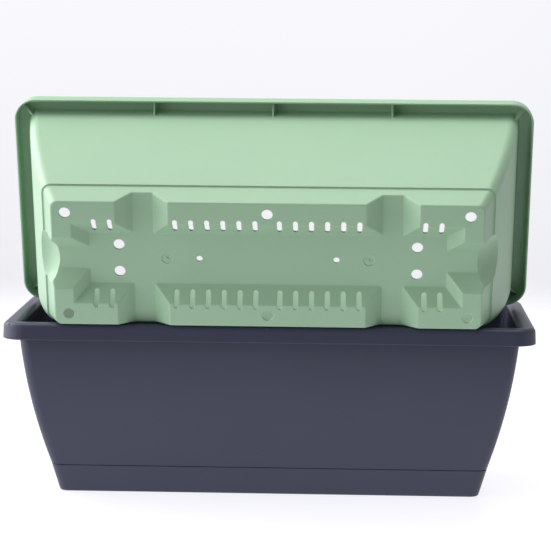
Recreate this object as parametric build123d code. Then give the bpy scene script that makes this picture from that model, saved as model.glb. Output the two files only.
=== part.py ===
from build123d import *

import math
import os

# A self-watering window-box planter in three injection-moulded pieces, in millimetres, +Z up.
# The water tray stands on the ground, with the middle of its underside at the origin, and the lower box
# stands in it. The upper box comes from the same mould. It lies on its side across the lower box's rim,
# tipped back, with its perforated underside facing -Y.

# Driving dimensions of a box, in its own frame: Z 0 is the plane of its feet and Z BOX_HEIGHT its rim.
RIM_LENGTH = 441.0
RIM_WIDTH = 186.4
RIM_CORNER_RADIUS = 18.0
RIM_SKIRT_HEIGHT = 13.8
RIM_SKIRT_DRAFT = 0.6
RIM_SKIRT_FOOT_WALL = 1.6
RIM_SKIRT_FOOT_RADIUS = 0.5
RIM_EDGE_RADIUS = 4.0
MOUTH_EDGE_RADIUS = 4.0
BOX_HEIGHT = 145.8
WALL = 2.0

# The walls lean outwards from the shoulder to the mouth and bulge a little on the way.
MOUTH_HALF_LENGTH = 208.4
MOUTH_HALF_WIDTH = 81.1
SHOULDER_HALF_LENGTH = 183.6
SHOULDER_HALF_WIDTH = 60.8
SHOULDER_HEIGHT = 21.5
WALL_BULGE = 4.0
WALL_CORNER_RADIUS = 8.0
WALL_SECTIONS = 5

# Below the shoulder, the base steps in to fit the tray, and narrows to the feet.
BASE_TOP_HALF_LENGTH = 182.1
BASE_TOP_HALF_WIDTH = 59.4
FEET_HALF_LENGTH = 173.8
FEET_HALF_WIDTH = 54.3
BASE_CORNER_RADIUS = 6.0
BASE_EDGE_RADIUS = 1.5

# Channels with 45 degree sides part the base into six feet. Half sizes are those of a channel's flat ceiling.
CHANNEL_DEPTH = 13.0
MAIN_CHANNEL_HALF_LENGTH = 145.0
MAIN_CHANNEL_HALF_WIDTH = 22.4
END_CHANNEL_HALF_WIDTH = 9.5
CROSS_CHANNEL_X = 101.0
CROSS_CHANNEL_HALF_WIDTH = 8.3

# A round scoop in each end lets water be poured into the tray past the box.
SCOOP_RADIUS = 29.0
SCOOP_CENTRE_X = 198.0
SCOOP_CENTRE_Z = 7.0

# Drain holes and wicking slots.
DRAIN_HOLE_RADIUS = 4.5
FOOT_HOLE_X = 162.5
FOOT_HOLE_Y = 44.4
CEILING_HOLE_X = 121.0
CEILING_HOLE_Y = 11.8
AIR_HOLE_RADIUS = 2.5
AIR_HOLE_X = 55.7
SLOT_WIDTH = 4.0
SLOT_LENGTH = 13.0
SLOT_Y = 32.5
SLOT_PITCH = 12.9
SLOTS_IN_HALF_LONG_FOOT = 6
FIRST_LONG_FOOT_SLOT_X = 9.8
SLOTS_IN_CORNER_FOOT = 2
FIRST_CORNER_FOOT_SLOT_X = 126.9

# Moulding gates: a nub in a shallow dish, on the main channel's ceiling.
GATE_X = 82.0
GATE_DISH_RADIUS = 4.5
GATE_DISH_DEPTH = 0.4
GATE_NUB_RADIUS = 1.0
GATE_NUB_HEIGHT = 0.8

# Gussets under the rim, deep at the wall and shallow at the skirt.
GUSSET_THICKNESS = 1.5
GUSSET_X = 101.0
GUSSET_DEPTH_AT_WALL = 14.0
GUSSET_DEPTH_AT_SKIRT = 6.0
CORNER_GUSSET_DEPTH_AT_WALL = 12.0
CORNER_GUSSET_DEPTH_AT_SKIRT = 3.0

# The water tray. Its wall carries on the line of the outer box's wall.
TRAY_WALL = 1.1
TRAY_FLOOR = 1.8
TRAY_FOOT_HALF_LENGTH = 177.0
TRAY_FOOT_HALF_WIDTH = 57.4
TRAY_FOOT_EDGE_RADIUS = 2.0
SHADOW_GAP = 0.5

# The lower box stands in the tray, and the upper box lies on the lower box's rim.
RESTING_GAP = 0.3
UPPER_BOX_GAP = 0.8
UPPER_BOX_FEET_Y = -112.0
UPPER_BOX_TILT = 17.0

LOWER_BOX_HEIGHT = TRAY_FLOOR + RESTING_GAP
OVERSHOOT = 1.0


def rounded_slab(half_length, half_width, radius, low, high):
    """An upright slab with rounded corners, from Z low to Z high."""
    outline = Pos(0, 0, low) * RectangleRounded(2 * half_length, 2 * half_width, radius)
    return extrude(outline, amount=high - low, dir=(0, 0, 1))


def tapered_slab(low_size, high_size, radius, low, high):
    """A slab whose half length and half width grow evenly from low_size to high_size."""
    sections = [
        Pos(0, 0, z) * RectangleRounded(2 * half_length, 2 * half_width, radius)
        for z, (half_length, half_width) in ((low, low_size), (high, high_size))
    ]
    return loft(sections, ruled=True)


def wall_half_sizes(z):
    """Half length and half width of the wall's outside at height z: a straight lean with a shallow bulge."""
    share = (z - SHOULDER_HEIGHT) / (BOX_HEIGHT - SHOULDER_HEIGHT)
    bulge = WALL_BULGE * 4 * share * (1 - share)
    half_length = SHOULDER_HALF_LENGTH + share * (MOUTH_HALF_LENGTH - SHOULDER_HALF_LENGTH) + bulge
    half_width = SHOULDER_HALF_WIDTH + share * (MOUTH_HALF_WIDTH - SHOULDER_HALF_WIDTH) + bulge
    return half_length, half_width


def wall_block(low, high, inset):
    """The solid inside the leaning walls between two heights, drawn in from their outside by inset."""
    sections = []
    for i in range(WALL_SECTIONS):
        z = low + (high - low) * i / (WALL_SECTIONS - 1)
        half_length, half_width = wall_half_sizes(z)
        outline = RectangleRounded(
            2 * (half_length - inset), 2 * (half_width - inset), WALL_CORNER_RADIUS - inset
        )
        sections.append(Pos(0, 0, z) * outline)
    return loft(sections)


def channel(centre_x, half_length, half_width, thickness):
    """One channel's hollow under the base, or, with the wall's thickness, the ridge that it makes inside."""
    ceiling = CHANNEL_DEPTH + thickness
    widening = thickness * (math.sqrt(2) - 1)
    low = -OVERSHOOT
    grown = ceiling - low
    at_ceiling = Rectangle(2 * (half_length + widening), 2 * (half_width + widening))
    at_bottom = Rectangle(
        2 * (half_length + widening + grown), 2 * (half_width + widening + grown)
    )
    sections = [Pos(centre_x, 0, low) * at_bottom, Pos(centre_x, 0, ceiling) * at_ceiling]
    return loft(sections, ruled=True)


def base_block(feet, top, radius, low, high, thickness):
    """The narrow base below the shoulder, parted into six feet, with its moulded edges rounded."""
    block = tapered_slab(feet, top, radius, low, high) - channels(thickness)
    edges = [edge for edge in block.edges() if edge.center().Z < high - BASE_EDGE_RADIUS / 2]
    return fillet(edges, BASE_EDGE_RADIUS)


def channels(thickness):
    """All the channels of the base: one along it, one out of each end and two across."""
    past_end = RIM_LENGTH / 2
    past_side = RIM_WIDTH / 2
    return (
        channel(0, MAIN_CHANNEL_HALF_LENGTH, MAIN_CHANNEL_HALF_WIDTH, thickness)
        + channel(0, past_end, END_CHANNEL_HALF_WIDTH, thickness)
        + channel(-CROSS_CHANNEL_X, CROSS_CHANNEL_HALF_WIDTH, past_side, thickness)
        + channel(CROSS_CHANNEL_X, CROSS_CHANNEL_HALF_WIDTH, past_side, thickness)
    )


def scoops(radius):
    """The round hollows in the two ends."""
    return [Pos(side * SCOOP_CENTRE_X, 0, SCOOP_CENTRE_Z) * Sphere(radius) for side in (-1, 1)]


def drain_holes():
    """Every round hole and slot through the base, as upright cutters."""
    tall = 2 * SHOULDER_HEIGHT
    round_holes = [
        (x, y, DRAIN_HOLE_RADIUS)
        for x in (-FOOT_HOLE_X, 0, FOOT_HOLE_X)
        for y in (-FOOT_HOLE_Y, FOOT_HOLE_Y)
    ]
    round_holes += [
        (x, y, DRAIN_HOLE_RADIUS)
        for x in (-CEILING_HOLE_X, CEILING_HOLE_X)
        for y in (-CEILING_HOLE_Y, CEILING_HOLE_Y)
    ]
    round_holes += [(x, 0, AIR_HOLE_RADIUS) for x in (-AIR_HOLE_X, AIR_HOLE_X)]
    cutters = [Pos(x, y, 0) * Cylinder(radius, tall) for x, y, radius in round_holes]

    slot_places = [FIRST_LONG_FOOT_SLOT_X + SLOT_PITCH * i for i in range(SLOTS_IN_HALF_LONG_FOOT)]
    slot_places += [FIRST_CORNER_FOOT_SLOT_X + SLOT_PITCH * i for i in range(SLOTS_IN_CORNER_FOOT)]
    slot = extrude(SlotOverall(SLOT_LENGTH, SLOT_WIDTH, rotation=90), amount=tall / 2, both=True)
    cutters += [
        Pos(side_x * x, side_y * SLOT_Y, 0) * slot
        for x in slot_places
        for side_x in (-1, 1)
        for side_y in (-1, 1)
    ]
    return cutters


def gates():
    """Cutters for the two gate dishes, and the nubs that stand in them."""
    dish_ceiling = CHANNEL_DEPTH + GATE_DISH_DEPTH
    dishes = [
        Pos(side * GATE_X, 0, dish_ceiling / 2) * Cylinder(GATE_DISH_RADIUS, dish_ceiling)
        for side in (-1, 1)
    ]
    nubs = [
        Pos(side * GATE_X, 0, dish_ceiling + OVERSHOOT / 2 - GATE_NUB_HEIGHT / 2)
        * Cylinder(GATE_NUB_RADIUS, GATE_NUB_HEIGHT + OVERSHOOT)
        for side in (-1, 1)
    ]
    return dishes, nubs


def rim():
    """The rolled rim: a flat top that turns down into a slightly flared skirt, hollow underneath."""
    skirt_foot = BOX_HEIGHT - RIM_SKIRT_HEIGHT
    foot_size = (RIM_LENGTH / 2, RIM_WIDTH / 2)
    top_size = [size - RIM_SKIRT_DRAFT for size in foot_size]
    body = tapered_slab(foot_size, top_size, RIM_CORNER_RADIUS, skirt_foot, BOX_HEIGHT)
    body = fillet(body.edges().group_by(Axis.Z)[-1], RIM_EDGE_RADIUS)

    inner_foot = [size - RIM_SKIRT_FOOT_WALL for size in foot_size]
    inner_top = [size - WALL for size in top_size]
    hollow = tapered_slab(inner_foot, inner_top, RIM_CORNER_RADIUS - WALL, skirt_foot, BOX_HEIGHT - WALL)
    hollow = fillet(hollow.edges().group_by(Axis.Z)[-1], RIM_EDGE_RADIUS - WALL)
    body -= hollow
    return fillet(body.edges().group_by(Axis.Z)[0], RIM_SKIRT_FOOT_RADIUS)


def gusset(inner_end, outer_end, depth_at_wall, depth_at_skirt):
    """One web in the XZ plane, hanging from the rim's underside between the wall and the skirt."""
    high = BOX_HEIGHT - WALL / 2
    corners = [
        (inner_end, high),
        (outer_end, high),
        (outer_end, high - depth_at_skirt),
        (inner_end, high - depth_at_wall),
    ]
    web = make_face(Polyline(corners, close=True))
    return extrude(Plane.XZ * web, amount=GUSSET_THICKNESS / 2, both=True)


def gussets():
    """Thin webs under the rim: three along each side and one in each corner."""
    side_web = gusset(
        MOUTH_HALF_WIDTH - WALL, RIM_WIDTH / 2 - WALL / 2, GUSSET_DEPTH_AT_WALL, GUSSET_DEPTH_AT_SKIRT
    )
    webs = [
        Pos(x, 0, 0) * Rot(0, 0, turn) * side_web
        for x in (-GUSSET_X, 0, GUSSET_X)
        for turn in (90, -90)
    ]
    corner_web = gusset(
        0, RIM_CORNER_RADIUS - WALL / 2, CORNER_GUSSET_DEPTH_AT_WALL, CORNER_GUSSET_DEPTH_AT_SKIRT
    )
    corner_x = RIM_LENGTH / 2 - RIM_CORNER_RADIUS
    corner_y = RIM_WIDTH / 2 - RIM_CORNER_RADIUS
    for side_x in (-1, 1):
        for side_y in (-1, 1):
            turn = math.degrees(math.atan2(side_y, side_x))
            webs.append(Pos(side_x * corner_x, side_y * corner_y, 0) * Rot(0, 0, turn) * corner_web)
    return webs


def planter_box():
    """One box as moulded, upright in its own frame."""
    base_top = (BASE_TOP_HALF_LENGTH, BASE_TOP_HALF_WIDTH)
    feet = (FEET_HALF_LENGTH, FEET_HALF_WIDTH)
    outside = wall_block(SHOULDER_HEIGHT, BOX_HEIGHT, 0)
    outside += base_block(feet, base_top, BASE_CORNER_RADIUS, 0, SHOULDER_HEIGHT, 0)
    outside -= scoops(SCOOP_RADIUS)

    inner_floor = (FEET_HALF_LENGTH - WALL, FEET_HALF_WIDTH - WALL)
    inner_base_top = (BASE_TOP_HALF_LENGTH - WALL, BASE_TOP_HALF_WIDTH - WALL)
    ledge = SHOULDER_HEIGHT + WALL
    inside = wall_block(ledge, BOX_HEIGHT + OVERSHOOT, WALL)
    inside += base_block(inner_floor, inner_base_top, BASE_CORNER_RADIUS - WALL, WALL, ledge, WALL)
    inside -= scoops(SCOOP_RADIUS + WALL)

    dishes, nubs = gates()
    outside += rim()
    under_rim = [
        edge
        for edge in outside.edges()
        if abs(edge.center().Z - (BOX_HEIGHT - WALL)) < 0.01
        and abs(edge.center().X) < MOUTH_HALF_LENGTH + 1
        and abs(edge.center().Y) < MOUTH_HALF_WIDTH + 1
    ]
    outside = fillet(under_rim, MOUTH_EDGE_RADIUS - WALL)
    box = outside + gussets() - inside
    box = box - dishes + nubs
    mouth = [
        edge
        for edge in box.edges().group_by(Axis.Z)[-1]
        if abs(edge.center().X) <= MOUTH_HALF_LENGTH and abs(edge.center().Y) <= MOUTH_HALF_WIDTH
    ]
    box = fillet(mouth, MOUTH_EDGE_RADIUS)
    return box - drain_holes()


def water_tray():
    """The tray that the outer box stands in, upright on the ground."""
    high = LOWER_BOX_HEIGHT + SHOULDER_HEIGHT - SHADOW_GAP
    foot = (TRAY_FOOT_HALF_LENGTH, TRAY_FOOT_HALF_WIDTH)
    lip = (SHOULDER_HALF_LENGTH, SHOULDER_HALF_WIDTH)
    outside = tapered_slab(foot, lip, WALL_CORNER_RADIUS, 0, high)
    outside = fillet(outside.edges().group_by(Axis.Z)[0], TRAY_FOOT_EDGE_RADIUS)

    inner_foot = [size - TRAY_WALL for size in foot]
    inner_lip = [size - TRAY_WALL for size in lip]
    inside = tapered_slab(inner_foot, inner_lip, WALL_CORNER_RADIUS - TRAY_WALL, TRAY_FLOOR, high)
    return outside - inside


def upper_box_place():
    """Where the upper box lies: tipped back, with its feet's rounded edge just clear of the rim below."""
    tilt = math.radians(UPPER_BOX_TILT)
    edge_half_width = FEET_HALF_WIDTH - BASE_EDGE_RADIUS
    reach_down = edge_half_width * math.cos(tilt) + BASE_EDGE_RADIUS * (1 - math.sin(tilt))
    feet_height = LOWER_BOX_HEIGHT + BOX_HEIGHT + UPPER_BOX_GAP + reach_down
    return Location((0, UPPER_BOX_FEET_Y, feet_height), (UPPER_BOX_TILT - 90, 0, 0))


box = planter_box()
pieces = {
    "water_tray": water_tray(),
    "lower_planter_box": Pos(0, 0, LOWER_BOX_HEIGHT) * box,
    "upper_planter_box": upper_box_place() * box,
}

os.makedirs("parts", exist_ok=True)
for name, piece in pieces.items():
    print(name, "solids", len(piece.solids()), "volume", round(piece.volume))
    export_step(piece, f"parts/{name}.step")
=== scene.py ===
import math

import bpy
from mathutils import Matrix, Vector


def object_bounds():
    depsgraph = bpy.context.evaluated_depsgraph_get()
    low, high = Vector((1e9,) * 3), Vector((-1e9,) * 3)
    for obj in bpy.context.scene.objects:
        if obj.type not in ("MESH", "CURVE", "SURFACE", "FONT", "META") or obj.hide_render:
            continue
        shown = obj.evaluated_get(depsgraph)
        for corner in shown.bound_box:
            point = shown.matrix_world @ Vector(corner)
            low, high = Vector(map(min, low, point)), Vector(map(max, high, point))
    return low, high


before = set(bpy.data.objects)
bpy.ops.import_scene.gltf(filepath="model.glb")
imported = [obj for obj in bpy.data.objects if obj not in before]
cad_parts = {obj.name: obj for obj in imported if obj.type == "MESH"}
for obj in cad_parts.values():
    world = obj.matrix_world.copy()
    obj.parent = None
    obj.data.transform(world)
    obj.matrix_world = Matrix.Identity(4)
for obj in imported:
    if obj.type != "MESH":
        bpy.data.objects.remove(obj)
cad_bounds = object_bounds()

MM = 0.001

# Moulded polypropylene: how far its edges are rounded, the two noise sizes, and the grain.
EDGE_ROUNDING = 1.0 * MM
CLOUD_SIZE = 60 * MM
GRAIN_SIZE = 0.8 * MM
GRAIN_DEPTH = 0.1 * MM
GRAIN_STRENGTH = 0.15
# Painted edge highlight: how fast an edge is painted paler as its normal turns away from the flat face
# beside it, in place of the light that rounded edges catch.
EDGE_HIGHLIGHT_GAIN = 3.0
EDGE_SAMPLES = 6
CLOUD_DETAIL = 3.0
GRAIN_DETAIL = 2.0
POLYPROPYLENE_IOR = 1.49
SCATTER_DEPTH = 2 * MM

# The table glows a little, as white acrylic lit from below does, and fades out at its edge.
TABLE_RADIUS = 2.5
TABLE_CORNERS = 96
TABLE_ROUGHNESS = 0.5
ACRYLIC_IOR = 1.49
TABLE_GLOW = 0.85
TABLE_COLOUR = "#85848B"
TABLE_FADE_CENTRE = (0, 0.3, 0)
TABLE_FADE_START = 0.5
TABLE_FADE_END = 1.2

STUDIO_WHITE = "#FAFAFF"
LAMP_WHITE = "#FFFFFF"

# The studio's walls and ceiling: the direction of each bright panel, how narrow it is, and its strength.
AMBIENT = 0.09
PANELS = (
    ((0.0, 1.0, 0.05), 6.0, 0.9),
    ((0.0, 0.0, 1.0), 2.0, 0.1),
    ((-1.0, 0.0, 0.2), 2.0, 2.9),
    ((1.0, 0.0, 0.2), 2.0, 0.55),
    ((0.0, -1.0, 0.2), 1.0, 0.03),
)

# Lamps: place, the point it faces, width and depth, and power in watts.
KEY_LAMP = ((-1.2, 0.5, 1.0), (0, 0, 0.2), (0.9, 0.9), 10)
OVERHEAD_LAMP = ((0, 0.0, 1.5), (0, 0, 0.2), (1.4, 0.9), 11)

MIX_FIRST_COLOUR = 6
MIX_SECOND_COLOUR = 7
MIX_COLOUR_RESULT = 2

CAMERA_PLACE = Vector((69.5, -1831.3, 406.9)) * MM
CAMERA_YAW = math.radians(-2.09)
CAMERA_PITCH = math.radians(7.1)
CAMERA_ROLL = math.radians(0.45)
CAMERA_FOCAL_LENGTH = 140.36
CAMERA_SENSOR_WIDTH = 36


def hex_colour(code):
    """An sRGB hex colour as the linear colour that a shader takes."""
    parts = [int(code[i : i + 2], 16) / 255 for i in (1, 3, 5)]
    linear = [p / 12.92 if p <= 0.04045 else ((p + 0.055) / 1.055) ** 2.4 for p in parts]
    return (*linear, 1.0)


def add_node(tree, kind, inputs=None, **settings):
    """Adds a node. inputs gives each of its sockets a value, or another node's output to link."""
    node = tree.nodes.new(kind)
    for name, value in settings.items():
        setattr(node, name, value)
    for name, value in (inputs or {}).items():
        if isinstance(value, bpy.types.NodeSocket):
            tree.links.new(value, node.inputs[name])
        else:
            node.inputs[name].default_value = value
    return node


def add_math(tree, operation, *values):
    """The output of a Math node. Each value is a number or another node's output."""
    return add_node(tree, "ShaderNodeMath", dict(enumerate(values)), operation=operation).outputs["Value"]


def mix_colour(tree, factor, first, second):
    """The Mix node has a socket for each data type, so those for colour are reached by their places."""
    inputs = {"Factor": factor, MIX_FIRST_COLOUR: first, MIX_SECOND_COLOUR: second}
    return add_node(tree, "ShaderNodeMix", inputs, data_type="RGBA").outputs[MIX_COLOUR_RESULT]


def fresh_tree(owner):
    """The emptied node tree of a material or world."""
    owner.use_nodes = True
    owner.node_tree.nodes.clear()
    return owner.node_tree


def moulded_polypropylene(name, body_hex, cloud_hex, edge_highlight_hex, roughness, scatter):
    """Injection-moulded polypropylene: even colour, a fine grain, softer edges, and a painted highlight
    that makes its edges paler.
    """
    material = bpy.data.materials.new(name)
    tree = fresh_tree(material)
    place = add_node(tree, "ShaderNodeTexCoord").outputs["Object"]
    cloud = add_node(
        tree, "ShaderNodeTexNoise", {"Vector": place, "Scale": 1 / CLOUD_SIZE, "Detail": CLOUD_DETAIL}
    )
    grain = add_node(
        tree, "ShaderNodeTexNoise", {"Vector": place, "Scale": 1 / GRAIN_SIZE, "Detail": GRAIN_DETAIL}
    )
    bevel = add_node(tree, "ShaderNodeBevel", {"Radius": EDGE_ROUNDING}, samples=EDGE_SAMPLES)
    rounded = bevel.outputs["Normal"]

    flat = add_node(tree, "ShaderNodeNewGeometry").outputs["Normal"]
    # Painted highlight: where the rounded normal turns away from the flat one, the colour is mixed towards
    # a paler one, as if the edge caught light.
    agreement = add_node(tree, "ShaderNodeVectorMath", {0: rounded, 1: flat}, operation="DOT_PRODUCT")
    turned = add_math(tree, "SUBTRACT", 1.0, agreement.outputs["Value"])
    painted_edge_highlight = add_node(tree, "ShaderNodeClamp", {"Value": add_math(tree, "MULTIPLY", turned, EDGE_HIGHLIGHT_GAIN)})

    body = mix_colour(tree, cloud.outputs["Fac"], hex_colour(body_hex), hex_colour(cloud_hex))
    colour = mix_colour(tree, painted_edge_highlight.outputs["Result"], body, hex_colour(edge_highlight_hex))
    bump = add_node(
        tree, "ShaderNodeBump",
        {"Height": grain.outputs["Fac"], "Strength": GRAIN_STRENGTH, "Distance": GRAIN_DEPTH,
         "Normal": rounded},
    )
    surface = add_node(
        tree, "ShaderNodeBsdfPrincipled",
        {"Base Color": colour, "Roughness": roughness, "IOR": POLYPROPYLENE_IOR,
         "Normal": bump.outputs["Normal"], "Subsurface Weight": scatter, "Subsurface Scale": SCATTER_DEPTH},
    )
    add_node(tree, "ShaderNodeOutputMaterial", {"Surface": surface.outputs["BSDF"]})
    return material


def white_acrylic(name):
    """The glowing white acrylic of the table, clear beyond the lit part."""
    material = bpy.data.materials.new(name)
    tree = fresh_tree(material)
    place = add_node(tree, "ShaderNodeTexCoord").outputs["Object"]
    offset = add_node(tree, "ShaderNodeVectorMath", {0: place, 1: TABLE_FADE_CENTRE}, operation="SUBTRACT")
    distance = add_node(
        tree, "ShaderNodeVectorMath", {0: offset.outputs["Vector"]}, operation="LENGTH"
    ).outputs["Value"]
    fade = add_node(
        tree, "ShaderNodeMapRange",
        {"Value": distance, "From Min": TABLE_FADE_START, "From Max": TABLE_FADE_END},
        interpolation_type="SMOOTHSTEP",
    )
    acrylic = add_node(
        tree, "ShaderNodeBsdfPrincipled",
        {"Base Color": hex_colour(TABLE_COLOUR), "Roughness": TABLE_ROUGHNESS, "IOR": ACRYLIC_IOR,
         "Emission Color": hex_colour(STUDIO_WHITE), "Emission Strength": TABLE_GLOW},
    )
    clear = add_node(tree, "ShaderNodeBsdfTransparent")
    mixed = add_node(
        tree, "ShaderNodeMixShader",
        {0: fade.outputs["Result"], 1: acrylic.outputs["BSDF"], 2: clear.outputs["BSDF"]},
    )
    add_node(tree, "ShaderNodeOutputMaterial", {"Surface": mixed.outputs["Shader"]})
    return material


def paint(node, material):
    """Gives a piece one material all over."""
    node.data.materials.clear()
    node.data.materials.append(material)


def studio_world():
    """A dim room with bright panels round it, built from directions only."""
    world = bpy.data.worlds.new("studio")
    tree = fresh_tree(world)
    direction = add_node(tree, "ShaderNodeTexCoord").outputs["Generated"]
    total = AMBIENT
    for towards, narrowness, strength in PANELS:
        aim = Vector(towards).normalized()
        along = add_node(tree, "ShaderNodeVectorMath", {0: direction, 1: aim}, operation="DOT_PRODUCT")
        facing = add_math(tree, "MAXIMUM", along.outputs["Value"], 0.0)
        shaped = add_math(tree, "POWER", facing, narrowness)
        total = add_math(tree, "MULTIPLY_ADD", shaped, strength, total)
    background = add_node(
        tree, "ShaderNodeBackground", {"Color": hex_colour(STUDIO_WHITE), "Strength": total}
    )
    add_node(tree, "ShaderNodeOutputWorld", {"Surface": background.outputs["Background"]})
    return world


def add_lamp(name, place, target, size, power):
    """A soft rectangular lamp that faces its target."""
    data = bpy.data.lights.new(name, "AREA")
    data.shape = "RECTANGLE"
    data.size, data.size_y = size
    data.energy = power
    data.color = hex_colour(LAMP_WHITE)[:3]
    lamp = bpy.data.objects.new(name, data)
    bpy.context.scene.collection.objects.link(lamp)
    lamp.location = place
    lamp.rotation_euler = (Vector(target) - Vector(place)).to_track_quat("-Z", "Y").to_euler()


def add_camera():
    """A long lens, a little above the rims and almost square to the long side."""
    data = bpy.data.cameras.new("camera")
    data.sensor_width = CAMERA_SENSOR_WIDTH
    data.lens = CAMERA_FOCAL_LENGTH
    camera = bpy.data.objects.new("camera", data)
    bpy.context.scene.collection.objects.link(camera)
    level = math.cos(CAMERA_PITCH)
    forward = Vector((math.sin(CAMERA_YAW) * level, math.cos(CAMERA_YAW) * level, -math.sin(CAMERA_PITCH)))
    camera.matrix_world = (
        Matrix.Translation(CAMERA_PLACE)
        @ forward.to_track_quat("-Z", "Y").to_matrix().to_4x4()
        @ Matrix.Rotation(CAMERA_ROLL, 4, "Z")
    )
    return camera


# The last colour of each material is its painted edge highlight.
green = moulded_polypropylene("green_moulded_polypropylene", "#97B999", "#9DBE9D", "#C0D8C2", 0.42, 0.1)
slate = moulded_polypropylene("slate_moulded_polypropylene", "#323548", "#373A4E", "#555A70", 0.4, 0.0)
paint(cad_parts["upper_planter_box"], green)
paint(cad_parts["lower_planter_box"], slate)
paint(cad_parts["water_tray"], slate)

bpy.ops.mesh.primitive_circle_add(
    vertices=TABLE_CORNERS, radius=TABLE_RADIUS, fill_type="NGON", location=(0, 0, cad_bounds[0][2])
)
table = bpy.context.object
table.name = "table"
paint(table, white_acrylic("white_acrylic_table"))

bpy.context.scene.world = studio_world()
add_lamp("key", *KEY_LAMP)
add_lamp("overhead", *OVERHEAD_LAMP)
bpy.context.scene.camera = add_camera()
bpy.context.scene.view_settings.view_transform = "Standard"
